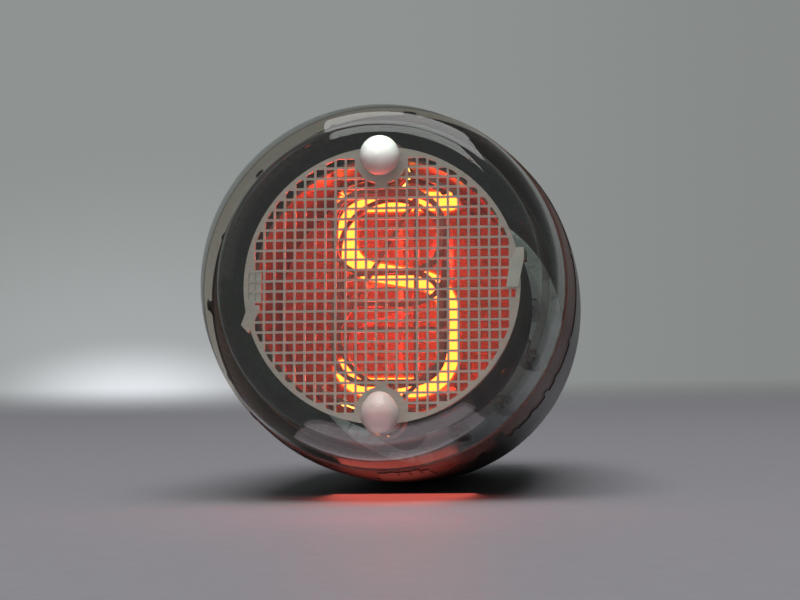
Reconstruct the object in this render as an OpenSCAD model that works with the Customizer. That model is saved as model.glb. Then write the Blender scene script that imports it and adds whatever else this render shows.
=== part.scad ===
// End-view numeral indicator tube: a gas-filled glass bulb with ten stacked
// metal numerals behind an etched mesh, plugged in by a circle of twelve pins.
// The numerals stand upright along +Z, the window faces -Y and the pins leave
// along +Y. The origin is the centre of the pin circle on the seating plane.

/* [Glass bulb] */
// Outside diameter of the bulb at its widest
bulb_d = 32; // [31:0.5:36]
// Height of the window above the seating plane
bulb_h = 48; // [47:0.5:60]
// Thickness of the blown glass
glass_t = 1.4; // [1:0.1:1.6]
// Height of the widest place above the seating plane
belly_h = 34; // [32:0.5:36]
// How far the side draws in between the widest place and the shoulder
front_draw = 0.7; // [0.4:0.1:0.9]
// How far the side draws in between the widest place and the rear shoulder
rear_draw = 1.8; // [1.4:0.1:2]
// Outside radius of the shoulder round the window
shoulder_r = 3.2; // [2.4:0.1:4]
// Outside radius of the rear shoulder
heel_r = 4.5; // [3.5:0.5:5]
// Radius of the fillet between the rear shoulder and the neck
neck_fillet = 1.5; // [1:0.5:2]
// Height of the straight neck above the stem
neck_h = 1.2; // [0.8:0.1:3]

/* [Side lacquer] */
// Thickness of the translucent lacquer
lacquer_t = 0.12; // [0.1:0.01:0.2]
// Bare glass between the front shoulder and the lacquer
lacquer_bare = 3.4; // [2:0.1:4]
// Thickness of the black coat over the lacquer
coat_t = 0.08; // [0.06:0.01:0.12]
// Lacquer left showing in front of the black coat
coat_bare = 6; // [5.8:0.1:7.4]

/* [Stem and pins] */
// Width of the pressed glass stem outside the pin circle
stem_rim = 3; // [2.9:0.1:3.4]
// Thickness of the stem
stem_t = 3.2; // [2.6:0.1:4]
// Diameter of the pin circle
pin_circle_d = 20; // [19:0.5:20.5]
// Diameter of a pin below the seating plane
pin_d = 1; // [0.8:0.1:1.2]
// Length of a pin below the seating plane
pin_out = 6.5; // [5.5:0.5:9]
// Length of the sealed wire above the stem
pin_in = 3.2; // [2.4:0.1:5]
// Diameter of the thinner wire that a pin is sealed in the glass by
seal_wire_d = 0.66; // [0.6:0.02:0.68]
// Outside diameter of the glass bead that seals a pin
seal_d = 2.2; // [1.8:0.1:2.2]
// Height of the glass bead that seals a pin
seal_h = 0.8; // [0.5:0.1:1.2]
// Diameter of the exhaust tip
tip_d = 4.6; // [3.6:0.1:6]
// Length of the exhaust tip
tip_h = 4.8; // [4:0.1:5.2]
// Bore of the exhaust tip
tip_bore = 1.8; // [1.2:0.1:2.2]

/* [Anode mesh] */
// How far the mesh stands out past the cup all round
mesh_out = 0.3; // [0.2:0.05:0.5]
// Distance from one mesh wire to the next
mesh_pitch = 0.88; // [0.84:0.01:1.3]
// Width of a mesh wire
mesh_wire = 0.2; // [0.16:0.01:0.3]
// Thickness of the etched sheet
mesh_t = 0.2; // [0.15:0.01:0.3]
// Width of the solid rim
mesh_rim = 0.4; // [0.3:0.05:0.6]
// Diameter of the solid pad round each rod
mesh_pad_d = 4.6; // [4.2:0.1:5]
// Height of the lug's top edge, from the middle of the mesh
lug_top = -1.6; // [-2:0.1:-1.5]
// Height of the lug's foot, from the middle of the mesh
lug_foot = -4; // [-4.4:0.1:-3.6]

/* [Anode cup] */
// Gap between the cup and the glass wall
cup_wall_gap = 3; // [2.9:0.1:3.3]
// Thickness of the cup's sheet metal
cup_t = 0.25; // [0.2:0.05:0.3]
// Gap between the mesh and the front edge of the cup
cup_gap = 3; // [2:0.1:3.2]
// Width of the lip folded in behind the disc
lip_w = 0.45; // [0.3:0.05:0.5]
// Width of the tab welded to the back of the mesh
weld_tab_w = 2.6; // [1.6:0.1:4]
// Reach of the welded tab
weld_tab_reach = 1.2; // [0.8:0.1:2]
// Width of the clip folded over the mesh
clip_w = 0.8; // [0.6:0.1:1.2]

/* [Rods and beads] */
// Distance from the middle of each rod to the glass wall
rod_wall_gap = 3.6; // [3.5:0.1:3.8]
// Diameter of a rod
rod_d = 1.5; // [1.3:0.05:1.6]
// Diameter of a bead
bead_d = 3.4; // [3:0.1:3.8]
// Height of a bead's centre above the mesh
bead_lift = 1.1; // [0.8:0.1:1.4]
// Gap between a bead and the window
bead_gap = 0.6; // [0.4:0.1:3]
// Diameter of a ceramic spacer
spacer_d = 2.4; // [2.2:0.1:2.6]
// Thickness of the spacer between two numerals
spacer_t = 0.9; // [0.7:0.05:1]

/* [Numerals] */
// Gap between a numeral and the eyelets above and below it
digit_gap = 1.1; // [0.9:0.1:2]
// How far a numeral's middle stands above the middle of the mesh
digit_rise = 0.3; // [0:0.05:0.4]
// Width of a numeral as a share of its height
digit_share = 0.588; // [0.5:0.002:0.62]
// Width of a numeral's stroke
stroke_w = 0.42; // [0.36:0.02:0.6]
// Thickness of a numeral
digit_t = 0.25; // [0.2:0.01:0.35]
// Middle radius of the round corners of a numeral, as a share of its width
bowl_share = 0.29; // [0.24:0.01:0.32]
// Width of the links that carry a numeral
link_w = 0.36; // [0.3:0.02:0.5]
// Diameter of the eyelet round each rod
eyelet_d = 2.8; // [2.7:0.1:3]
// Gap between the mesh and the first numeral
front_gap = 3.2; // [3.2:0.1:4]
// Gap between the last numeral and the disc
rear_gap = 2.2; // [1:0.1:3]

/* [Disc and leads] */
// Thickness of the ceramic disc that carries the rods
disc_t = 1; // [0.8:0.1:1.5]
// Diameter of a cathode lead
lead_d = 0.4; // [0.3:0.05:0.5]
// Diameter of the two support wires
support_d = 0.6; // [0.5:0.05:0.7]
// How far inside the rods the cathode leads run
lead_inset = 0.7; // [0.6:0.05:0.9]
// Diameter of the pad at the end of a cathode's arm
lead_pad_d = 0.66; // [0.6:0.02:0.68]

/* [Hidden] */
$fn = 48;

// Numerals from the mesh backwards: like shapes are kept apart, so that the
// front ones hide as little as they can of the ones behind.
STACK = [3, 8, 9, 4, 0, 5, 7, 2, 6, 1];
last_rank = len(STACK) - 1;

fit = 0.05;          // radial clearance of a threaded piece
air = 0.35;          // clearance between the cup and what it holds
over = 1;            // how far a cutting solid runs past what it cuts

bulb_r = bulb_d / 2;
stem_r = pin_circle_d / 2 + stem_rim;
wall_r = bulb_r - glass_t;
rod_y = wall_r - rod_wall_gap;
cup_r = wall_r - cup_wall_gap;
mesh_r = cup_r + mesh_out;
lead_r = rod_y - lead_inset;
lobe_r = eyelet_d / 2 + air + cup_t;
digit_h = 2 * rod_y - eyelet_d - 2 * digit_gap;
digit_w = digit_share * digit_h;
bowl_r = bowl_share * digit_w;
pitch = digit_t + spacer_t;

// Heights above the seating plane, from the window down to the pins
window_z = bulb_h - glass_t;
mesh_z = window_z - bead_gap - bead_d / 2 - bead_lift;
mesh_back_z = mesh_z - mesh_t;
cup_front_z = mesh_back_z - cup_gap;
first_digit_z = mesh_back_z - front_gap;
disc_front_z = first_digit_z - last_rank * pitch - digit_t - rear_gap;
disc_back_z = disc_front_z - disc_t;
cup_back_z = disc_back_z - cup_t;
pin_top_z = stem_t + pin_in;

// Wires are bent this far from their ends, and swell a little at each bend
bend_z = 2.5;
bend_swell = 0.06;

function rank_of(digit) = search(digit, STACK)[0];
function digit_z(rank) = first_digit_z - rank * pitch;

// Each cathode's lead leaves beside one of the rods: the ranks take the four
// sides in turn, and the front ranks take the widest angles, so that no lead
// passes through the arm of a numeral behind it.
lead_first = 16;     // angle from a rod to the nearest lead
lead_step = 10;      // angle from one lead to the next
arm_bite = 0.23;     // how far an arm reaches into the edge of its eyelet
arm_start = asin((eyelet_d / 2 - arm_bite) / lead_r);
function lead_rod_angle(rank) = rank % 2 == 0 ? 90 : 270;
function lead_side(rank) = rank % 4 < 2 ? -1 : 1;
function lead_level(rank) = (rank % 4 < 2 ? 2 : 1) - floor(rank / 4);
function lead_angle(rank) =
    lead_rod_angle(rank) + lead_side(rank) * (lead_first + lead_step * lead_level(rank));

pin_count = 12;
pin_step = 360 / pin_count;
function pin_angle(i) = pin_step * (i - 0.5);
function lead_pin_angle(rank) =
    lead_rod_angle(rank) + lead_side(rank) * pin_step * (lead_level(rank) + 0.5);
anode_pin_angle = 165;
support_pin_angle = 345;

function polar(r, angle, z) = [r * cos(angle), r * sin(angle), z];

// Runs of black paint in front of the coat's edge: angle, radius and distance
// of the rounded tip
RUNS = [
    [12, 0.3, 0.4], [31, 0.5, 0.9], [58, 0.35, 0.2], [84, 0.6, 1.6], [109, 0.3, 0.5],
    [137, 0.45, 1.1], [160, 0.3, 0.3], [183, 0.5, 2.2], [206, 0.35, 0.6], [221, 0.4, 1.4],
    [241, 0.5, 4.3], [244.5, 0.4, 2.9], [256, 0.35, 0.8], [269, 0.5, 4.6], [272, 0.6, 4.9],
    [275.5, 0.55, 4.7], [279, 0.5, 4.8], [282, 0.4, 3.9], [291, 0.35, 0.7], [299, 0.4, 1],
    [307, 0.55, 3.8], [312, 0.3, 0.9], [320, 0.35, 0.5], [327, 0.3, 1.3], [333, 0.4, 0.3],
    [345, 0.3, 0.6]
];

// Stands the tube, drawn with its pins down, on its side with the window to -Y
module laid() {
    rotate([90, 0, 0]) children();
}

// ---------- glass bulb ----------

// The side is two long arcs that meet at the belly, and the shoulder and the
// heel are tangent to them. All these centres serve every skin of the bulb.
function long_arc(run, draw) = (run * run + draw * draw) / (2 * draw);

lap = 0.002;         // tangent arcs overlap by this much, so that they cross cleanly
shoulder_z = bulb_h - shoulder_r;
front_r = long_arc(shoulder_z - belly_h, front_draw);
rear_r = long_arc(belly_h - stem_t - neck_h - heel_r, rear_draw);
front_c = [bulb_r - front_r, belly_h];
rear_c = [bulb_r - rear_r, belly_h];
fillet_c = [stem_r + neck_fillet, stem_t + neck_h];
shoulder_c = [
    front_c.x + sqrt(pow(front_r - shoulder_r, 2) - pow(shoulder_z - belly_h, 2)),
    shoulder_z
];

// The heel's centre is where two circles cross: one about the rear arc's centre
// and one about the fillet's
to_heel = rear_r - heel_r;
to_fillet = fillet_c - rear_c;
along = (to_fillet * to_fillet + pow(to_heel, 2) - pow(heel_r + neck_fillet, 2)) / (2 * norm(to_fillet));
across = sqrt(pow(to_heel, 2) - pow(along, 2));
heel_c = rear_c + (along * to_fillet + across * [-to_fillet.y, to_fillet.x]) / norm(to_fillet);

// Slice of a long arc's disc between the belly and the ray to a point
module side_slice(centre, r, ray) {
    intersection() {
        translate(centre) circle(r, $fn = 960);
        polygon([centre, centre + [3 * r, 0], centre + 3 * (ray - centre)]);
        square(2 * bulb_h);
    }
}

// Half section of the bulb, filled to the axis and grown by a thickness
module bulb_half(grow, top_grow) {
    heel = heel_r + grow + lap;
    translate([0, belly_h]) square([shoulder_c.x, bulb_h + top_grow - belly_h]);
    intersection() {
        translate(shoulder_c) circle(shoulder_r + grow + lap);
        square([bulb_d, bulb_h + top_grow]);
    }
    side_slice(front_c, front_r + grow, shoulder_c);
    side_slice(rear_c, rear_r + grow, heel_c);
    translate(heel_c) intersection() {
        circle(heel);
        translate([0, -2 * heel]) square(2 * heel);
    }
    square([stem_r + grow, fillet_c.y]);
    difference() {
        polygon([[0, fillet_c.y], fillet_c, heel_c, [0, belly_h]]);
        translate(fillet_c) circle(neck_fillet - grow);
    }
}

module glass_bulb() {
    color([0.86, 0.9, 0.88, 0.3]) laid() rotate_extrude() intersection() {
        difference() {
            bulb_half(0, 0);
            bulb_half(-glass_t, -glass_t);
        }
        translate([0, stem_t]) square([bulb_d, bulb_h]);
    }
}

// ---------- side lacquer ----------

lacquer_z = shoulder_z - lacquer_bare;
coat_z = lacquer_z - coat_bare;
foot_z = stem_t + neck_h;

module side_lacquer() {
    color([0.36, 0.1, 0.08, 0.8]) laid() rotate_extrude() intersection() {
        difference() {
            bulb_half(lacquer_t, 0);
            bulb_half(0, 0);
        }
        translate([0, foot_z]) square([bulb_d, lacquer_z - foot_z]);
    }
}

// Opaque paint over the lacquer, with a ragged front edge where it has run
module black_coat() {
    color([0.06, 0.05, 0.05]) laid() intersection() {
        rotate_extrude() intersection() {
            difference() {
                bulb_half(lacquer_t + coat_t, 0);
                bulb_half(lacquer_t, 0);
            }
            translate([0, foot_z]) square([bulb_d, lacquer_z - foot_z]);
        }
        union() {
            cylinder(r = bulb_d, h = coat_z);
            for (run = RUNS) rotate([0, 0, run[0]]) translate([bulb_r - over, 0, coat_z])
                rotate([90, 0, 90]) linear_extrude(bulb_d) paint_run(run[1], run[2]);
        }
    }
}

// Outline of one run, laid flat: it widens to the coat and ends in a round tip
module paint_run(tip_r, reach) {
    root = 1.6 * tip_r;
    waist = 0.6 * tip_r;
    polygon([[-root, -over], [root, -over], [waist, reach], [-waist, reach]]);
    translate([0, reach]) circle(tip_r, $fn = 24);
}

// ---------- stem and pins ----------

module glass_stem() {
    seal_top = 0.4;      // how much wider than its wire a seal still is at its top
    color([0.8, 0.86, 0.84, 0.4]) laid() difference() {
        union() {
            cylinder(r = stem_r, h = stem_t);
            for (i = [1 : pin_count]) translate(polar(pin_circle_d / 2, pin_angle(i), stem_t))
                cylinder(d1 = seal_d, d2 = seal_wire_d + seal_top, h = seal_h);
            exhaust_tip();
        }
        for (i = [1 : pin_count]) translate(polar(pin_circle_d / 2, pin_angle(i), -over))
            cylinder(d = seal_wire_d, h = stem_t + seal_h + 2 * over);
        translate([0, 0, -tip_h / 2]) cylinder(d = tip_bore, h = stem_t + tip_h / 2 + over);
        translate([0, 0, -tip_h / 2]) sphere(d = tip_bore);
    }
}

// The tube that the gas went in by, melted off to a rounded point
module exhaust_tip() {
    nose_r = tip_d / 4;
    nose_z = nose_r - tip_h;
    straight = tip_h * 0.55;
    rotate_extrude() union() {
        translate([0, -straight]) square([tip_d / 2, straight + over]);
        polygon([[0, -straight], [tip_d / 2, -straight], [nose_r, nose_z], [0, nose_z]]);
        translate([0, nose_z]) intersection() {
            circle(nose_r);
            translate([0, -nose_r]) square([nose_r, nose_r]);
        }
    }
}

// Stout pin as far as the glass, welded to the thinner wire that goes through it
module pin(i) {
    point = pin_d / 2;
    color([0.72, 0.7, 0.64]) laid() translate(polar(pin_circle_d / 2, pin_angle(i), -pin_out)) {
        cylinder(d1 = pin_d / 2, d2 = pin_d, h = point);
        translate([0, 0, point]) cylinder(d = pin_d, h = pin_out - point);
        translate([0, 0, pin_out - over]) cylinder(d = seal_wire_d, h = over + pin_top_z);
    }
}

// ---------- anode mesh ----------

// Solid lug on the lower left of the rim, where the disc was held while it was welded
module mesh_lug() {
    head_x = mesh_r - mesh_rim - 1;
    head_h = 0.4;        // height of the lug at its inner end
    lean = 0.45;         // how far its foot stays inside the rim's edge
    out = 0.2;           // how far its lower corner stands out past the rim
    foot_h = 0.7;        // height of that corner above the foot
    polygon([
        [-head_x, lug_top], [-head_x, lug_top - head_h], [lean - mesh_r, lug_foot],
        [-mesh_r - out, lug_foot + foot_h], [mesh_rim - mesh_r, lug_top]
    ]);
}

// Field of square windows, cut round at the rim and left out beside the rods and the lug
module mesh_cells() {
    cell = mesh_pitch - mesh_wire;
    field_r = mesh_r - mesh_rim;
    smallest = 0.35;     // a window cut narrower than this is left solid
    lug_reach = 1.2;     // the windows this far in from the rim make way for the lug
    count = ceil(mesh_r / mesh_pitch);
    intersection() {
        difference() {
            circle(field_r);
            for (y = [-rod_y, rod_y]) translate([0, y]) circle(d = mesh_pad_d);
        }
        for (i = [-count : count], j = [-count : count]) {
            x = i * mesh_pitch;
            y = j * mesh_pitch;
            near = norm([max(abs(x) - cell / 2, 0), max(abs(y) - cell / 2, 0)]);
            pad_gap = norm([abs(x) + cell / 2, rod_y - abs(y) + cell / 2]) - mesh_pad_d / 2;
            on_lug = x < lug_reach - mesh_r && y < lug_top + cell / 2 && y > lug_foot - cell / 2;
            if (near < field_r - smallest && pad_gap > smallest && !on_lug)
                translate([x, y]) square(cell, center = true);
        }
    }
}

module anode_mesh() {
    land = 0.75;         // metal left round each rod where its hole breaks the rim
    color([0.62, 0.58, 0.54]) laid() translate([0, 0, mesh_back_z]) {
        linear_extrude(mesh_t) difference() {
            union() {
                circle(mesh_r);
                for (y = [-rod_y, rod_y]) translate([0, y]) circle(rod_d / 2 + land);
            }
            for (y = [-rod_y, rod_y]) translate([0, y]) circle(rod_d / 2 + fit);
            mesh_cells();
        }
        linear_extrude(mesh_t) mesh_lug();
    }
}

// ---------- anode cup ----------

// Round outline with a lobe outside each rod
module lobed(inset) {
    circle(cup_r - inset);
    for (y = [-rod_y, rod_y]) translate([0, y]) circle(lobe_r - inset);
}

module anode_cup() {
    cup_h = cup_front_z - cup_back_z;
    color([0.6, 0.58, 0.56]) laid() {
        difference() {
            translate([0, 0, cup_back_z]) linear_extrude(cup_h) lobed(0);
            translate([0, 0, disc_back_z]) linear_extrude(cup_h) lobed(cup_t);
            translate([0, 0, cup_back_z - over]) linear_extrude(cup_h) lobed(cup_t + lip_w);
        }
        weld_tab();
        mesh_clip();
    }
}

// Tab bent in from the cup's left side and welded to the back of the mesh
module weld_tab() {
    translate([-cup_r, -weld_tab_w / 2, cup_front_z - over]) cube([cup_t, weld_tab_w, cup_gap + over]);
    translate([-cup_r, -weld_tab_w / 2, mesh_back_z - cup_t]) cube([weld_tab_reach, weld_tab_w, cup_t]);
}

// Strip from the cup's right side, joggled out past the rim and folded over the mesh
module mesh_clip() {
    y = 2.2;             // height of the clip's lower edge
    inner_x = cup_r - 2 * cup_t;
    outer_x = mesh_r + fit + cup_t;
    fold_in = 1.5;       // reach of the folded end over the mesh
    fold_w = 0.6;        // width of the fold at the clip, across the rim
    tip_y = -0.35;       // height of the folded end's lower edge
    translate([inner_x, y, cup_front_z - cup_t]) cube([outer_x - inner_x, clip_w, cup_t]);
    translate([outer_x - cup_t, y, cup_front_z - cup_t])
        cube([cup_t, clip_w, mesh_z + 2 * cup_t - cup_front_z]);
    translate([0, 0, mesh_z]) linear_extrude(cup_t)
        polygon([
            [outer_x, y + clip_w], [outer_x, y - cup_t], [outer_x - cup_t * 2, tip_y],
            [outer_x - fold_in, tip_y], [outer_x - 2 * fold_w, y - 2 * cup_t], [outer_x - fold_w, y + clip_w]
        ]);
}

// ---------- rear disc ----------

module rear_disc() {
    color([0.88, 0.86, 0.8]) laid() translate([0, 0, disc_back_z]) linear_extrude(disc_t) difference() {
        lobed(cup_t + fit);
        for (y = [-rod_y, rod_y]) translate([0, y]) circle(rod_d / 2 + fit);
        for (rank = [0 : last_rank]) translate(polar(lead_r, lead_angle(rank), 0))
            circle(lead_d / 2 + fit, $fn = 24);
    }
}

// ---------- rods, beads and spacers ----------

rod_nose = 0.9;      // length of rod inside a bead
rear_bead_d = bead_d - 0.4;

module rod(y) {
    color([0.9, 0.88, 0.84]) laid() translate([0, y, disc_back_z - rod_nose])
        cylinder(d = rod_d, h = mesh_z - disc_back_z + 2 * rod_nose);
}

// Half-melted glass bead on the end of a rod, flat where it sits on what it holds
module bead(y, nose) {
    difference() {
        intersection() {
            translate([0, y, bead_lift]) children();
            translate([0, y, bead_d]) cube(2 * bead_d, center = true);
        }
        translate([0, y, -over]) cylinder(d = rod_d, h = nose + over);
    }
}

module upper_bead() {
    color("white") laid() translate([0, 0, mesh_z]) bead(rod_y, rod_nose) sphere(d = bead_d);
}

// This bead ran a little up the mesh before it set, so it is egg-shaped
module lower_bead() {
    sag = 0.1;           // drop of its broad end, which is also a little smaller
    run = 0.45;          // rise of its narrow end
    thin = 0.7;          // how much narrower that end is
    color("white") laid() translate([0, 0, mesh_z]) bead(-rod_y, rod_nose) hull() {
        translate([0, -sag, 0]) sphere(d = bead_d - sag, $fn = 32);
        translate([0, run, 0]) sphere(d = bead_d - thin, $fn = 32);
    }
}

module rear_bead(y) {
    color("white") laid() translate([0, 0, disc_back_z]) mirror([0, 0, 1])
        bead(y, rod_nose) sphere(d = rear_bead_d);
}

module spacer(y, z, h) {
    translate([0, y, z]) difference() {
        cylinder(d = spacer_d, h = h, $fn = 32);
        translate([0, 0, -over]) cylinder(d = rod_d + 2 * fit, h = h + 2 * over, $fn = 32);
    }
}

module spacers(y) {
    color([0.93, 0.92, 0.88]) laid() {
        spacer(y, first_digit_z, front_gap);
        for (rank = [0 : last_rank - 1]) spacer(y, digit_z(rank + 1), spacer_t);
        spacer(y, disc_front_z, rear_gap);
    }
}

// ---------- numerals ----------

// Straight stroke with round ends
module bar(from, to, w = stroke_w) {
    v = to - from;
    translate(from) rotate(atan2(v.y, v.x)) translate([0, -w / 2]) square([norm(v), w]);
    translate(from) circle(d = w, $fn = 24);
    translate(to) circle(d = w, $fn = 24);
}

// Round stroke about a centre, between two angles less than a turn apart
module arc(centre, r, from, to, w = stroke_w) {
    steps = ceil((to - from) / 60);
    reach = 2 * r + w;
    translate(centre) intersection() {
        difference() {
            circle(r + w / 2);
            circle(r - w / 2);
        }
        polygon(concat([[0, 0]], [for (k = [0 : steps])
            let (a = from + (to - from) * k / steps) [reach * cos(a), reach * sin(a)]]));
    }
}

// Middle lines of the outermost strokes
x1 = (digit_w - stroke_w) / 2;
y1 = (digit_h - stroke_w) / 2;
mid = 0.0765 * digit_h;      // height of the waist of a numeral above its middle
hook = 20;                   // angle by which an open bowl's end turns back past level
stem_x = 0.22 * digit_w;     // distance of the four's stem to the right
foot_x = -0.14 * digit_w;    // distance of the seven's foot to the left

// Ring with straight sides and round corners, between two heights
module bowl(top, bottom) {
    r = min(bowl_r, (top - bottom) / 2);
    for (s = [-1, 1]) bar([s * x1, top - r], [s * x1, bottom + r]);
    for (y = [top, bottom]) bar([r - x1, y], [x1 - r, y]);
    arc([x1 - r, top - r], r, 0, 90);
    arc([r - x1, top - r], r, 90, 180);
    arc([r - x1, bottom + r], r, 180, 270);
    arc([x1 - r, bottom + r], r, 270, 360);
}

module numeral_0() {
    r = x1;
    arc([0, y1 - r], r, 0, 180);
    arc([0, r - y1], r, 180, 360);
    for (s = [-1, 1]) bar([s * r, y1 - r], [s * r, r - y1]);
}

module numeral_1() {
    bar([0, y1], [0, -y1]);
}

module numeral_2() {
    mirror([0, 1]) numeral_5();
}

module numeral_3() {
    r = bowl_r;
    waist_in = 1;        // reach of the waist bar past the middle
    arc([r - x1, y1 - r], r, 90, 180 - hook);
    bar([r - x1, y1], [x1 - r, y1]);
    arc([x1 - r, y1 - r], r, 0, 90);
    bar([x1, y1 - r], [x1, mid + r]);
    arc([x1 - r, mid + r], r, 270, 360);
    bar([-waist_in, mid], [x1 - r, mid]);
    arc([x1 - r, mid - r], r, 0, 90);
    bar([x1, mid - r], [x1, r - y1]);
    arc([x1 - r, r - y1], r, 270, 360);
    bar([r - x1, -y1], [x1 - r, -y1]);
    arc([r - x1, r - y1], r, 180 + hook, 270);
}

module numeral_4() {
    bar_y = -digit_h / 5;
    bar([stem_x, y1], [stem_x, -y1]);
    bar([stem_x, y1], [-x1, bar_y]);
    bar([-x1, bar_y], [x1, bar_y]);
}

// A two turned upside down: flat top, slanted waist, open round bowl below.
// The slanted stroke is a hair thinner than the two bowls that it runs into.
module numeral_5() {
    r = bowl_r;
    neck_in = 0.5;       // how far the left stroke stands in from the bowl below
    waist_rise = 0.7;    // rise of the upper bowl above the waist
    bar_out = 0.2;       // how far the top bar runs past the right side
    waist_thin = 0.04;
    waist_lap = 2;
    upper = [r - x1 + neck_in, mid + r + waist_rise];
    lower = [x1 - r, mid - r];
    v = lower - upper;
    slope = atan2(v.y, v.x) + asin(2 * r / norm(v));
    left_x = upper.x - r;
    bar([left_x, y1], [x1 + bar_out, y1]);
    bar([left_x, y1], [left_x, upper.y]);
    arc(upper, r, 180, 270 + slope + waist_lap);
    bar(upper + r * [sin(slope), -cos(slope)], lower + r * [-sin(slope), cos(slope)], stroke_w - waist_thin);
    arc(lower, r, 0, 90 + slope + waist_lap);
    bar([x1, lower.y], [x1, r - y1]);
    arc([x1 - r, r - y1], r, 270, 360);
    bar([r - x1, -y1], [x1 - r, -y1]);
    arc([r - x1, r - y1], r, 180 + hook, 270);
}

module numeral_6() {
    r = bowl_r;
    bowl(mid, -y1);
    bar([-x1, mid - r], [-x1, y1 - r]);
    arc([r - x1, y1 - r], r, 90, 180);
    bar([r - x1, y1], [x1 - r, y1]);
    arc([x1 - r, y1 - r], r, hook, 90);
}

module numeral_7() {
    bar([-x1, y1], [x1, y1]);
    bar([x1, y1], [foot_x, -y1]);
}

module numeral_8() {
    bowl(y1, mid);
    bowl(mid, -y1);
}

module numeral_9() {
    rotate(180) numeral_6();
}

module numeral(digit) {
    if (digit == 0) numeral_0();
    if (digit == 1) numeral_1();
    if (digit == 2) numeral_2();
    if (digit == 3) numeral_3();
    if (digit == 4) numeral_4();
    if (digit == 5) numeral_5();
    if (digit == 6) numeral_6();
    if (digit == 7) numeral_7();
    if (digit == 8) numeral_8();
    if (digit == 9) numeral_9();
}

// Where the links from the eyelets meet a numeral: x at its head and at its foot
HEAD_X = [0, 0, 0, 0, stem_x, 0, 0, 0, 0, 0];
FOOT_X = [0, 0, 0, 0, stem_x, 0, 0, foot_x, 0, 0];

// One etched numeral with its eyelets, the links to them, and the arm to its lead
module cathode(digit) {
    rank = rank_of(digit);
    rod_angle = lead_rod_angle(rank);
    pad_angle = lead_angle(rank);
    root_y = rod_y - (eyelet_d + rod_d) / 4;
    color([0.5, 0.46, 0.44]) laid() translate([0, 0, digit_z(rank) - digit_t]) linear_extrude(digit_t)
        difference() {
            union() {
                translate([0, digit_rise]) numeral(digit);
                for (y = [-rod_y, rod_y]) translate([0, y]) circle(d = eyelet_d);
                bar([0, root_y], [HEAD_X[digit], y1 + digit_rise], link_w);
                bar([0, -root_y], [FOOT_X[digit], digit_rise - y1], link_w);
                if (lead_side(rank) < 0) arc([0, 0], lead_r, pad_angle, rod_angle - arm_start, link_w);
                else arc([0, 0], lead_r, rod_angle + arm_start, pad_angle, link_w);
                translate(polar(lead_r, pad_angle, 0)) circle(d = lead_pad_d, $fn = 24);
            }
            for (y = [-rod_y, rod_y]) translate([0, y]) circle(rod_d / 2 + fit);
        }
}

// ---------- leads ----------

// Round wire through a list of points, with a ball at each bend
module wire(points, d) {
    for (i = [0 : len(points) - 2]) {
        v = points[i + 1] - points[i];
        translate(points[i]) rotate([0, acos(v.z / norm(v)), atan2(v.y, v.x)])
            cylinder(d = d, h = norm(v));
    }
    for (i = [1 : len(points) - 2]) translate(points[i]) sphere(d = d + bend_swell);
}

// From a welded end straight down, across to a pin and onto the pin's end
module lead(r, angle, top_z, bend_top_z, to_angle, d) {
    color([0.66, 0.64, 0.6]) laid() wire([
        polar(r, angle, top_z),
        polar(r, angle, bend_top_z),
        polar(pin_circle_d / 2, to_angle, pin_top_z + bend_z),
        polar(pin_circle_d / 2, to_angle, pin_top_z)
    ], d);
}

module cathode_lead(digit) {
    rank = rank_of(digit);
    lead(lead_r, lead_angle(rank), digit_z(rank) - digit_t, disc_back_z - bend_z,
        lead_pin_angle(rank), lead_d);
}

// Stout wire from the cup's rear edge to its own pin
module support(angle) {
    lead(cup_r - cup_t, angle, cup_back_z, cup_back_z - bend_z, angle, support_d);
}

// ---------- the tube ----------

glass_bulb();
side_lacquer();
black_coat();
glass_stem();
anode_mesh();
anode_cup();
rear_disc();
rod(rod_y);  // upper_rod
rod(-rod_y);  // lower_rod
upper_bead();
lower_bead();
rear_bead(rod_y);  // upper_rear_bead
rear_bead(-rod_y);  // lower_rear_bead
spacers(rod_y);  // upper_spacers
spacers(-rod_y);  // lower_spacers
for (digit = [0 : 9]) cathode(digit);
for (digit = [0 : 9]) cathode_lead(digit);
support(anode_pin_angle);  // anode_lead
support(support_pin_angle);  // support_wire
for (i = [1 : pin_count]) pin(i);
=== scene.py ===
import math

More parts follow.
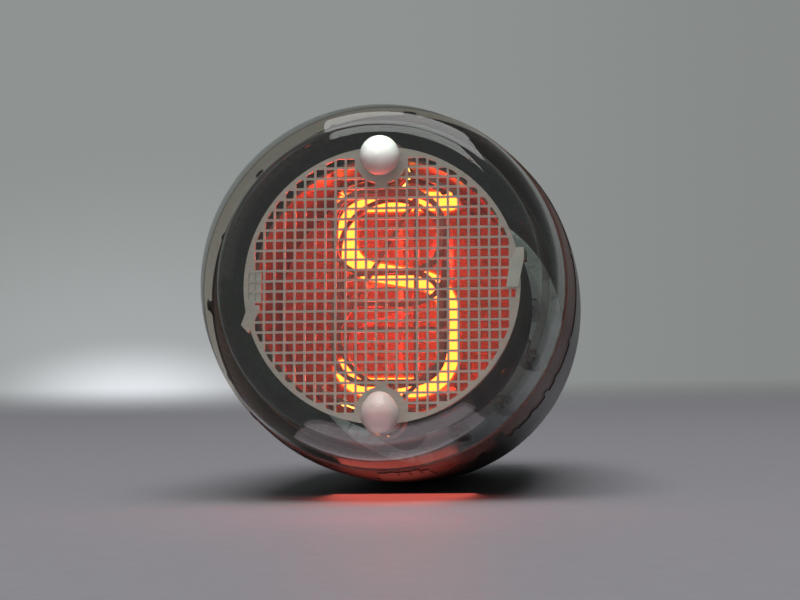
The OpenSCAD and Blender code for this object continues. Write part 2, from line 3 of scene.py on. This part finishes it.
import bpy
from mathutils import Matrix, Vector


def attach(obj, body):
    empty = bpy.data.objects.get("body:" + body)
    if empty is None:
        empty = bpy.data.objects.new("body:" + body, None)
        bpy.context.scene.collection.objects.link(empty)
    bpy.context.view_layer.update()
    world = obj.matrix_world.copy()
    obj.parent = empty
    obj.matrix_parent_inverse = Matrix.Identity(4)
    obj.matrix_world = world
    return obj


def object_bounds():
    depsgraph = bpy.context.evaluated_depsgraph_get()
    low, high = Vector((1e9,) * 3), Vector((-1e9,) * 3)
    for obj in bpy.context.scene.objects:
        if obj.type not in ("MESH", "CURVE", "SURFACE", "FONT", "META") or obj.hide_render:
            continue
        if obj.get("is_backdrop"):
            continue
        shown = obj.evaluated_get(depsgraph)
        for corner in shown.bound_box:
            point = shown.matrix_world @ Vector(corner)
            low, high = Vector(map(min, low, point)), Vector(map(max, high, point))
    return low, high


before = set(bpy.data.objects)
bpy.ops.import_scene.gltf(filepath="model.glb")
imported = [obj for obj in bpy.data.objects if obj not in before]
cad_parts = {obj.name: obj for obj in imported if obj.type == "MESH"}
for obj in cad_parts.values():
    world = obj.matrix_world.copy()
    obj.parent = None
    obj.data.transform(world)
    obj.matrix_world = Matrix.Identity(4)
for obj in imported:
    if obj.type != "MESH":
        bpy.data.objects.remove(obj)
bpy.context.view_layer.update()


# Glass bulb: blown soda glass with a flat window, a round shoulder and a thin, even
# wall. Light goes straight through it, and it mirrors more towards its edge. Where
# the lacquer is bonded to it, it mirrors almost nothing.
class Value:
    """A node's socket that ordinary maths works on."""

    def __init__(self, tree, socket):
        self.tree, self.socket = tree, socket

    def _with(self, operation, *others, clamp=False):
        node = self.tree.nodes.new("ShaderNodeMath")
        node.operation, node.use_clamp = operation, clamp
        for slot, value in zip(node.inputs, others):
            if isinstance(value, Value):
                self.tree.links.new(value.socket, slot)
            else:
                slot.default_value = value
        return Value(self.tree, node.outputs[0])

    def __add__(self, other): return self._with("ADD", self, other)
    def __radd__(self, other): return self._with("ADD", other, self)
    def __sub__(self, other): return self._with("SUBTRACT", self, other)
    def __rsub__(self, other): return self._with("SUBTRACT", other, self)
    def __mul__(self, other): return self._with("MULTIPLY", self, other)
    def __rmul__(self, other): return self._with("MULTIPLY", other, self)
    def __pow__(self, other): return self._with("POWER", self, other)
    def __gt__(self, other): return self._with("GREATER_THAN", self, other)
    def clamped(self): return self._with("ADD", self, 0.0, clamp=True)
    def most(self, other): return self._with("MAXIMUM", self, other)

    def ramp(self, low, high):
        """0 below low, 1 above high and smooth between them."""
        return Shading(self.tree).node(
            "MapRange", {"interpolation_type": "SMOOTHSTEP"}, out="Result",
            Value=self, From_Min=low, From_Max=high)


class Shading:
    """A node tree under construction."""

    def __init__(self, tree):
        self.tree = tree

    def node(self, kind, settings=(), out=0, **sockets):
        """Adds a node. A socket goes by its name, or by an i and its number."""
        node = self.tree.nodes.new("ShaderNode" + kind)
        for setting, value in dict(settings).items():
            setattr(node, setting, value)
        for socket, value in sockets.items():
            number = socket[1:]
            slot = node.inputs[int(number) if number.isdigit() else socket.replace("_", " ")]
            if isinstance(value, Value):
                self.tree.links.new(value.socket, slot)
            else:
                slot.default_value = value
        return Value(self.tree, node.outputs[out])

    def seen(self):
        """1 for a ray from the camera, off a shiny face or through glass."""
        camera = self.node("LightPath", out="Is Camera Ray")
        glossy = self.node("LightPath", out="Is Glossy Ray")
        through = self.node("LightPath", out="Is Transmission Ray")
        return camera.most(glossy).most(through)


class Finish(Shading):
    """A material under construction, with its shader."""

    def __init__(self, name, **sockets):
        self.material = bpy.data.materials.new(name)
        self.material.use_nodes = True
        super().__init__(self.material.node_tree)
        self.shader = self.tree.nodes["Principled BSDF"]
        for socket, value in sockets.items():
            self.shader.inputs[socket.replace("_", " ")].default_value = value

    def along(self, axis):
        """The piece's own x, y or z in metres."""
        spot = self.node("TexCoord", out="Object")
        return self.node("SeparateXYZ", out="XYZ".index(axis), Vector=spot)

    def noise(self, scale, detail=3.0, rough=0.5, stretch=(1, 1, 1)):
        """Noise in the piece's own metres, stretched on each axis."""
        spot = self.node("TexCoord", out="Object")
        spot = self.node("Mapping", Vector=spot, Scale=stretch)
        return self.node("TexNoise", Vector=spot, Scale=scale, Detail=detail, Roughness=rough)

    def mix(self, mask, first, second):
        """One colour where the mask is 0 and the other where it is 1."""
        return self.node("Mix", {"data_type": "RGBA"}, out=2, i0=mask, i6=first, i7=second)

    def drive(self, **sockets):
        """Feeds values that change over the surface to the shader."""
        for socket, value in sockets.items():
            self.tree.links.new(value.socket, self.shader.inputs[socket.replace("_", " ")])

    def bump(self, height, strength, distance):
        """Raises the surface by a height, at most by a distance in metres."""
        self.drive(Normal=self.node("Bump", Height=height, Strength=strength, Distance=distance))

    def blend(self, mask, second):
        """Puts a second shader in place of the first where the mask is 1."""
        first = Value(self.tree, self.shader.outputs[0])
        both = self.node("MixShader", i0=mask, i1=first, i2=second)
        self.tree.links.new(both.socket, self.tree.nodes["Material Output"].inputs["Surface"])

    def see_through(self, tint, share):
        """Lets a share of the light pass straight through with a tint."""
        self.blend(share, self.node("BsdfTransparent", Color=(*tint, 1)))

    def on(self, *names):
        """Gives the finish to pieces by their names."""
        for name in names:
            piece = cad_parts.get(name) or bpy.data.objects[name]
            piece.data.materials.clear()
            piece.data.materials.append(self.material)


bulb_tint = (0.93, 0.95, 0.93)
lacquer_rear, lacquer_front, lacquer_edge = 0.0044, 0.0414, 0.00002
face_mirror, mirror_rise, bonded_loss = 0.04, 5, 0.9

bulb = Finish("Blown glass", Base_Color=(1, 1, 1, 1), Metallic=1.0, Roughness=0.02)
bulb.bump(bulb.noise(scale=90, detail=1.0), strength=0.01, distance=0.001)
forward = -1 * bulb.along("Y")
coated = (forward > lacquer_rear) * (lacquer_front - forward).ramp(0.0, lacquer_edge)
edge = bulb.node("LayerWeight", out="Facing", Blend=0.5)
gloss = face_mirror + (1 - face_mirror) * edge ** mirror_rise
gloss = gloss * (1 - bonded_loss * coated)
bulb.see_through(bulb_tint, (1 - gloss).most(bulb.node("LightPath", out="Is Shadow Ray")))
bulb.on("glass_bulb")


# Glass stem: the pressed foot of glass that closes the rear of the bulb, with the
# pins sealed into it and the exhaust tip at its middle. Its dark grey tint is painted
# shade, for the shadow the rear of the tube lies in. Its faces have the slow waves of
# pressed glass, and lamps shine through it.
# The dark grey tint is painted shade.
stem_shade_tint = (0.24, 0.25, 0.25)

stem = Finish("Pressed glass", Base_Color=(*stem_shade_tint, 1), Roughness=0.0, IOR=1.47,
              Transmission_Weight=1.0)
stem.bump(stem.noise(scale=90, detail=1.0), strength=0.08, distance=0.001)
stem.see_through(stem_shade_tint, stem.node("LightPath", out="Is Shadow Ray"))
stem.on("glass_stem")


# Side lacquer: a thin, translucent red-brown lacquer, brushed round the side of the
# bulb. It lets less light through towards the lower right, as painted shade, and
# least of all where the black coat lies on it.
coat_front, coat_edge = 0.0356, 0.0004
slant, shade_start, shade_end = 0.7, -0.004, 0.010
bare_share, shade_loss, covered_loss, brush_share = 0.84, 0.5, 0.6, 0.1
lacquer_tint = (0.82, 0.77, 0.72)
covered_brown = (0.46, 0.32, 0.26, 1)

lacquer = Finish("Side lacquer", Roughness=0.3, Specular_IOR_Level=0.15,
                 Coat_Weight=0.1, Coat_Roughness=0.2)
brush = lacquer.noise(scale=70, detail=3.0, rough=0.6, stretch=(1, 12, 1))
covered = (coat_front + lacquer.along("Y")).ramp(0.0, coat_edge)
bare_brown = lacquer.mix(brush, (0.13, 0.050, 0.045, 1), (0.24, 0.110, 0.100, 1))
lacquer.drive(Base_Color=lacquer.mix(covered, bare_brown, covered_brown))
lacquer.drive(Roughness=0.22 + 0.2 * brush)
lacquer.bump(brush, strength=0.15, distance=0.0002)
# Less light passes towards the lower right: painted shade.
lower_right_shade = (slant * lacquer.along("X") - slant * lacquer.along("Z")).ramp(shade_start, shade_end)
share = bare_share - shade_loss * lower_right_shade - covered_loss * covered + brush_share * brush
lacquer.see_through(lacquer_tint, share.clamped())
lacquer.on("side_lacquer")


# Black coat: opaque black paint over the lacquer. It ran forward in places before
# it set, so its front edge is ragged, and it has a fine orange-peel skin.
paint = Finish("Black paint", Roughness=0.3, Specular_IOR_Level=0.3,
               Coat_Weight=0.1, Coat_Roughness=0.2)
peel = paint.noise(scale=900, detail=3.0, rough=0.6)
thin = paint.noise(scale=120, detail=4.0, rough=0.65)
paint.drive(Base_Color=paint.mix(thin, (0.009, 0.008, 0.008, 1), (0.030, 0.020, 0.018, 1)))
paint.drive(Roughness=0.24 + 0.2 * thin)
paint.bump(peel, strength=0.2, distance=0.0001)
paint.on("black_coat")


# Anode mesh: one disc of thin nickel-plated sheet, etched through to leave fine
# square windows, with a solid rim and lug. The bars keep the satin skin and the
# faint crosswise scratches of the rolled sheet.
mesh = Finish("Etched mesh", Metallic=1.0, Roughness=0.3)
roll = mesh.noise(scale=900, detail=3.0, rough=0.6, stretch=(1, 1, 9))
mesh.drive(Base_Color=mesh.mix(roll, (0.46, 0.40, 0.37, 1), (0.72, 0.64, 0.60, 1)))
mesh.drive(Roughness=0.38 + 0.2 * roll)
mesh.bump(roll, strength=0.12, distance=0.00005)
mesh.on("anode_mesh")


# Anode cup: a pressed nickel cup round the numerals, open to the front, with a tab
# welded to the mesh and a clip folded over it. The tab and the clip are bright, and
# the cup behind them is darker, partly darkened by use and partly painted shade
# deep in the bulb.
cup_rim, clip_start = 0.0404, 0.0412

cup = Finish("Cup metal", Metallic=1.0, Roughness=0.34)
worn = cup.noise(scale=260, detail=4.0, rough=0.6)
folded = (-1 * cup.along("Y")).ramp(cup_rim, clip_start)
# The cup's dark colour is partly wear and partly painted shade.
dark = cup.mix(worn, (0.14, 0.085, 0.07, 1), (0.25, 0.165, 0.14, 1))
bright = cup.mix(worn, (0.70, 0.66, 0.62, 1), (0.86, 0.82, 0.78, 1))
cup.drive(Base_Color=cup.mix(folded, dark, bright))
cup.drive(Roughness=0.26 + 0.25 * worn)
cup.bump(worn, strength=0.1, distance=0.0001)
cup.on("anode_cup")


# Rods and spacers: the two rods that carry the stack, and the washers on them that
# keep the numerals apart, are fired steatite, cream-white and matt with a fine grain.
ceramic = Finish("Steatite", Roughness=0.7)
grain = ceramic.noise(scale=1500, detail=4.0, rough=0.7)
ceramic.drive(Base_Color=ceramic.mix(grain, (0.62, 0.59, 0.53, 1), (0.78, 0.76, 0.71, 1)))
ceramic.drive(Roughness=0.6 + 0.2 * grain)
ceramic.bump(grain, strength=0.2, distance=0.00006)
ceramic.on("upper_rod", "lower_rod", "upper_spacers", "lower_spacers")


# Rear disc: the same steatite, but the numerals' metal has sputtered on to it in use,
# and it is painted dark brown-grey, darker in patches, partly for that film and
# partly as painted shade at the back of the cup.
stained_and_shaded = Finish("Stained and shaded steatite", Roughness=0.6)
film = stained_and_shaded.noise(scale=220, detail=4.0, rough=0.6)
# The dark brown-grey is partly sputtered film and partly painted shade.
stained_and_shaded.drive(Base_Color=stained_and_shaded.mix(film, (0.10, 0.070, 0.060, 1), (0.20, 0.150, 0.130, 1)))
stained_and_shaded.drive(Roughness=0.5 + 0.2 * film)
stained_and_shaded.bump(stained_and_shaded.noise(scale=1500, detail=4.0, rough=0.7), strength=0.2, distance=0.00006)
stained_and_shaded.on("rear_disc")


# Beads: opaque white glass run over the ends of the rods and left to set. They are
# smooth with a soft satin gloss and slightly uneven in whiteness.
bead = Finish("White bead glass", Roughness=0.28, Coat_Weight=0.25, Coat_Roughness=0.1)
milk = bead.noise(scale=700, detail=3.0, rough=0.5)
bead.drive(Base_Color=bead.mix(milk, (0.74, 0.74, 0.74, 1), (0.86, 0.86, 0.86, 1)))
bead.drive(Roughness=0.24 + 0.12 * milk)
bead.bump(milk, strength=0.06, distance=0.0001)
bead.on("upper_bead", "lower_bead", "upper_rear_bead", "lower_rear_bead")


# Numerals: etched nickel sheet on the two rods, greyed by years of discharge and
# darkened further as painted shade, deep in the cup. The nine that are out only
# catch the light of the one that is lit.
lit_digit = 5

numeral = Finish("Numeral metal", Metallic=0.85, Roughness=0.4)
grey = numeral.noise(scale=800, detail=4.0, rough=0.6)
# The dark grey is partly discharge wear and partly painted shade.
numeral.drive(Base_Color=numeral.mix(grey, (0.22, 0.15, 0.13, 1), (0.36, 0.27, 0.24, 1)))
numeral.drive(Roughness=0.32 + 0.22 * grey)
numeral.bump(grey, strength=0.1, distance=0.00004)
numeral.on(*[f"digit_{number}" for number in range(10) if number != lit_digit])


# Lit numeral: the same sheet, glowing over its whole outline. The gas glows in a
# layer that hugs the metal and fades over a few tenths of a millimetre, so it is
# made as three skins, one outside another, each a swollen copy of the numeral.
figure_top, figure_foot = 0.0088, -0.0082
merge_distance = 1e-6
first_voxel, last_voxel = 0.00009, 0.00013
dim_part, swirl_share = 0.85, 0.06

lit = Finish("Lit numeral", Roughness=0.5, Emission_Strength=6.0)
flicker = lit.noise(scale=500, detail=2.0)
# Its base colour is paler and more orange than the other numerals': painted glow on the metal.
lit.drive(Base_Color=lit.mix(flicker, (0.35, 0.22, 0.15, 1), (0.45, 0.3, 0.2, 1)))
lit.drive(Emission_Color=lit.mix(flicker, (1.0, 0.36, 0.05, 1), (1.0, 0.42, 0.07, 1)))
lit.on(f"digit_{lit_digit}")
lit_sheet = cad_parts[f"digit_{lit_digit}"]


def modify(piece, kind, **settings):
    """Adds a modifier and applies it."""
    modifier = piece.modifiers.new(kind, kind)
    for setting, value in settings.items():
        setattr(modifier, setting, value)
    bpy.context.view_layer.objects.active = piece
    bpy.ops.object.modifier_apply(modifier=modifier.name)


for name, reach, colour, strength, solid in (
        ("glow_core", 0.00066, (1.0, 0.115, 0.011), 20.0, 1.0),
        ("glow_halo", 0.00080, (1.0, 0.075, 0.008), 3.2, 0.42),
        ("glow_edge", 0.00098, (1.0, 0.06, 0.01), 1.1, 0.16)):
    bpy.ops.object.select_all(action="DESELECT")
    skin = bpy.data.objects.new(name, lit_sheet.data.copy())
    bpy.context.scene.collection.objects.link(skin)
    skin.select_set(True)
    bpy.context.view_layer.objects.active = skin
    bpy.ops.object.mode_set(mode="EDIT")
    bpy.ops.mesh.select_all(action="SELECT")
    bpy.ops.mesh.remove_doubles(threshold=merge_distance)
    # The links and eyelets beyond the figure don't glow, so they are cut away.
    for height, side in ((figure_top, 1), (figure_foot, -1)):
        bpy.ops.mesh.select_all(action="SELECT")
        bpy.ops.mesh.bisect(plane_co=(0, 0, height), plane_no=(0, 0, side),
                            use_fill=True, clear_outer=True)
    bpy.ops.object.mode_set(mode="OBJECT")
    modify(skin, "REMESH", mode="VOXEL", voxel_size=first_voxel)
    modify(skin, "DISPLACE", strength=reach, mid_level=0.0)
    modify(skin, "REMESH", mode="VOXEL", voxel_size=last_voxel)
    modify(skin, "SMOOTH", factor=0.6, iterations=8)
    bpy.ops.object.shade_smooth()
    glow = Finish(name.replace("_", " ").capitalize(), Emission_Strength=strength,
                  Roughness=1.0, Base_Color=(0, 0, 0, 1), Specular_IOR_Level=0.0)
    swirl = glow.noise(scale=350, detail=2.0)
    dim = tuple(part * dim_part for part in colour)
    glow.drive(Emission_Color=glow.mix(swirl, (*dim, 1), (*colour, 1)))
    if solid < 1:
        glow.see_through((1, 1, 1), 1 - solid + swirl_share * (swirl - 0.5))
    glow.on(name)
    skin.visible_diffuse = skin.visible_glossy = skin.visible_shadow = False
    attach(skin, "root")


# Leads: drawn nickel wires inside the bulb, welded from each numeral and from the
# cup to their pins. They show fine drawing lines along their length.
wire = Finish("Nickel wire", Metallic=1.0, Roughness=0.3)
drawn = wire.noise(scale=500, detail=3.0, rough=0.6, stretch=(8, 1, 8))
wire.drive(Base_Color=wire.mix(drawn, (0.48, 0.46, 0.43, 1), (0.70, 0.68, 0.64, 1)))
wire.drive(Roughness=0.24 + 0.2 * drawn)
wire.bump(drawn, strength=0.1, distance=0.00004)
wire.on(*[f"lead_{number}" for number in range(10)], "anode_lead", "support_wire")


# Pins: twelve stiff tinned pins, sealed in a circle in the glass stem. The tin is
# a little uneven, with fine lines along the pin.
pin_count = 12

pin = Finish("Tinned pin", Metallic=1.0, Roughness=0.35)
tin = pin.noise(scale=900, detail=4.0, rough=0.6, stretch=(4, 1, 4))
pin.drive(Base_Color=pin.mix(tin, (0.52, 0.50, 0.46, 1), (0.74, 0.72, 0.67, 1)))
pin.drive(Roughness=0.26 + 0.26 * tin)
pin.bump(tin, strength=0.12, distance=0.00005)
pin.on(*[f"pin_{number}" for number in range(1, pin_count + 1)])


# Camera: the tube lies on its swelling side with its window tipped up a little, so
# the table's own directions lean by that angle from the part's. The camera looks
# level along the table at the bulb's shoulder, from a little to one side.
lean = math.radians(7.0)
up = Vector((0, -math.sin(lean), math.cos(lean)))
away = Vector((0, math.cos(lean), math.sin(lean)))
across = Vector((1, 0, 0))
turn = math.radians(7.0)
look = away * math.cos(turn) - across * math.sin(turn)
beside = across * math.cos(turn) + away * math.sin(turn)
shoulder = Vector((0, -0.0448, 0))
distance, focal = 0.225, 2660.0
image_width, sensor_width = 800, 36
pixels_beside, pixels_below = 21, 18

camera = bpy.data.objects.new("Camera", bpy.data.cameras.new("Camera"))
bpy.context.scene.collection.objects.link(camera)
bpy.context.scene.camera = camera
camera.data.sensor_width = sensor_width
camera.data.lens = focal / image_width * sensor_width
camera.data.clip_start, camera.data.clip_end = 0.01, 20
offset = (beside * pixels_beside - up * pixels_below) * (distance / focal)
camera.location = shoulder - look * distance + offset
camera.rotation_mode = "QUATERNION"
camera.rotation_quaternion = look.to_track_quat("-Z", "Y")


# Table: a matt, pale lilac-grey top with a faint fibre, which the black coat's
# swelling touches. Its far edge fades into the wall.
table_centre, table_wide, table_deep = 0.35, 1.6, 0.66
fade_start, fade_end = 0.40, 0.56

touch = min(up.dot(vertex.co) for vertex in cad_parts["black_coat"].data.vertices)
eye_height = up.dot(camera.location) - touch
foot = camera.location - up * eye_height


def sheet(name, centre, wide, deep, normal, forward):
    """A flat stage sheet about a centre, in its own plane's coordinates."""
    side = forward.cross(normal)
    bpy.ops.object.select_all(action="DESELECT")
    bpy.ops.mesh.primitive_plane_add(size=1)
    made = bpy.context.active_object
    made.name = name
    for vertex in made.data.vertices:
        across_part, deep_part = vertex.co.x, vertex.co.y
        vertex.co = centre + side * across_part * wide + forward * deep_part * deep
    made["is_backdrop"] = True


sheet("Table", foot + look * table_centre, table_wide, table_deep, up, look)
table = Finish("Table top", Roughness=0.6, Specular_IOR_Level=0.15)
fibre = table.noise(scale=500, detail=4.0)
table.drive(Base_Color=table.mix(fibre, (0.255, 0.252, 0.277, 1), (0.285, 0.282, 0.307, 1)))
table.bump(fibre, strength=0.05, distance=0.0002)
far = table.along("Y") * look.y + table.along("X") * look.x + table.along("Z") * look.z
start = foot.dot(look)
table.see_through((1, 1, 1), far.ramp(start + fade_start, start + fade_end))
table.on("Table")


# Wall: plain pale grey paint, far behind the tube. It is painted a little darker to
# the right as painted shade, and a soft, wide patch of daylight is painted low on it
# at the left, with a brighter middle.
# The camera, shiny faces and glass see its colour as it is, whatever the lamps do.
wall_distance, wall_wide, wall_high = 1.3, 3.0, 2.4
patch_drop, patch_left = 0.045, 0.13
left_grey, right_grey = (0.275, 0.292, 0.286, 1), (0.240, 0.254, 0.246, 1)
daylight = (0.85, 0.88, 0.92, 1)

sheet("Wall", foot + look * wall_distance, wall_wide, wall_high, -look, up)
wall = Finish("Wall paint", Roughness=0.9)
height = wall.along("Y") * up.y + wall.along("Z") * up.z - up.dot(camera.location)
left = wall.along("X") * beside.x + wall.along("Y") * beside.y + wall.along("Z") * beside.z
left = left - beside.dot(camera.location + look * wall_distance)
high, wide = height + patch_drop, left + patch_left


def patch(flat, narrow):
    """1 at the patch's middle, falling to 0 at the rim of an ellipse."""
    return (1 - (high * high * flat + wide * wide * narrow) ** 0.5).ramp(0.0, 1.0)


# The darker right and the daylight patch are painted shade and painted light.
tone = wall.mix(left.ramp(-0.02, 0.20), left_grey, right_grey)
tone = wall.mix(0.2 * patch(60, 22), tone, daylight)
tone = wall.mix(0.9 * patch(1100, 150), tone, daylight)
wall.drive(Base_Color=tone)
wall.blend(wall.seen(), wall.node("Emission", Color=tone))
wall.on("Wall")


# Room lamps: a large soft lamp overhead and a weak one at the left in front light
# the tube and the table.
middle = Vector((0, -0.025, 0))


def light(name, kind, spot, power, colour=(1, 1, 1), hidden=(), target=None, **settings):
    """Adds a light, aimed at a target and hidden from the named kinds of ray."""
    data = bpy.data.lights.new(name, kind)
    data.energy, data.color = power, colour
    for setting, value in settings.items():
        setattr(data, setting, value)
    made = bpy.data.objects.new(name, data)
    bpy.context.scene.collection.objects.link(made)
    made.location = spot
    if target is not None:
        made.rotation_mode = "QUATERNION"
        made.rotation_quaternion = (target - spot).to_track_quat("-Z", "Y")
    for rays in hidden:
        setattr(made, "visible_" + rays, False)
    return made


light("Ceiling lamp", "AREA", up * 0.50 - look * 0.14, 2.8,
      target=middle, hidden=["transmission"], size=0.44)
light("Side fill", "AREA", up * 0.25 - look * 0.3 - beside * 0.35, 0.06,
      target=middle, size=0.3)


# Front lights: two dim ones that only show as reflections, a small pinkish one that
# lies on the table before the window and a broad one where the window mirrors it.
low_forward, low_rise = 0.012, 0.001
soft_distance, soft_left = 0.2, 0.045
reflection_only = ["diffuse", "camera", "transmission"]

low_spot = shoulder - look * low_forward
low_spot = low_spot + up * (touch + low_rise - up.dot(low_spot))
light("Low front light", "AREA", low_spot, 0.0024, (1.0, 0.86, 0.95),
      target=low_spot + up, hidden=reflection_only, size=0.024)
mirrored = up * math.sin(2 * lean) - look * math.cos(2 * lean)
soft_spot = shoulder + mirrored * soft_distance - beside * soft_left
light("Soft front light", "AREA", soft_spot, 0.002,
      target=shoulder, hidden=reflection_only, size=0.16)


# Bead light: a narrow spot from above and in front that puts the bright top on the
# upper bead. It has no reflection of its own.
bead_top = Vector((0, -0.0454, 0.0122))
bead_spot = bead_top + (up * 0.75 - look * 0.66) * 0.1
light("Bead light", "SPOT", bead_spot, 1.0, target=bead_top, hidden=["glossy"],
      spot_size=math.radians(2.0), spot_blend=0.5, shadow_soft_size=0.001)


# Glow on the table: the glow leaves through the bare glass of the shoulder and the
# window and reddens the table, under the shoulder and before the window.
pool_rise = 0.0006
pool_spot = Vector((0.0006, -0.0340, 0))
pool_spot.z = (touch - up.y * pool_spot.y) / up.z + pool_rise
diffuse_only = ["camera", "transmission", "glossy"]

pool = light("Glow under the shoulder", "AREA", pool_spot, 0.0020, (1.0, 0.16, 0.11),
             hidden=diffuse_only, shape="ELLIPSE", size=0.013, size_y=0.024)
pool.rotation_euler = (-lean, 0, 0)
light("Glow before the window", "POINT", (0.0, -0.0590, -0.0080), 0.0022, (1.0, 0.16, 0.22),
      hidden=diffuse_only, shadow_soft_size=0.001)


# Neon lights: the glow lights the metal round it red. Small lamps stand in for it,
# along the figure of the lit numeral, in front of its sheet and behind it.
lit_plane, stand_off = -0.03393, 0.0005
in_front, behind = -1, 1

for number, (x, z, side) in enumerate((
        (-0.0040, 0.0072, in_front), (0.0030, 0.0078, in_front),
        (-0.0036, 0.0040, in_front), (0.0, 0.0012, in_front),
        (0.0046, -0.0028, in_front), (0.0030, -0.0076, in_front),
        (-0.0030, -0.0072, in_front),
        (-0.0036, 0.0060, behind), (0.0040, 0.0040, behind),
        (-0.0020, -0.0030, behind), (0.0040, -0.0060, behind))):
    light(f"Neon light {number + 1}", "POINT", (x, lit_plane + side * stand_off, z),
          0.0018, (1.0, 0.026, 0.010), hidden=["camera", "transmission"],
          shadow_soft_size=0.0006)


# Room: as a light it is nearly dark, so the lamps make the shadows. The camera,
# shiny faces and glass see it pale grey, as they see the wall.
world = bpy.data.worlds.new("Room")
bpy.context.scene.world = world
world.use_nodes = True
room = Shading(world.node_tree)
dim_room = room.tree.nodes["Background"]
dim_room.inputs["Color"].default_value = (0.55, 0.56, 0.56, 1)
dim_room.inputs["Strength"].default_value = 0.05
pale_room = room.node("Background", Color=(0.26, 0.275, 0.27, 1))
both = room.node("MixShader", i0=room.seen(), i1=Value(room.tree, dim_room.outputs[0]),
                 i2=pale_room)
room.tree.links.new(both.socket, room.tree.nodes["World Output"].inputs["Surface"])
bpy.context.scene.view_settings.view_transform = "Standard"

low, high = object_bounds()
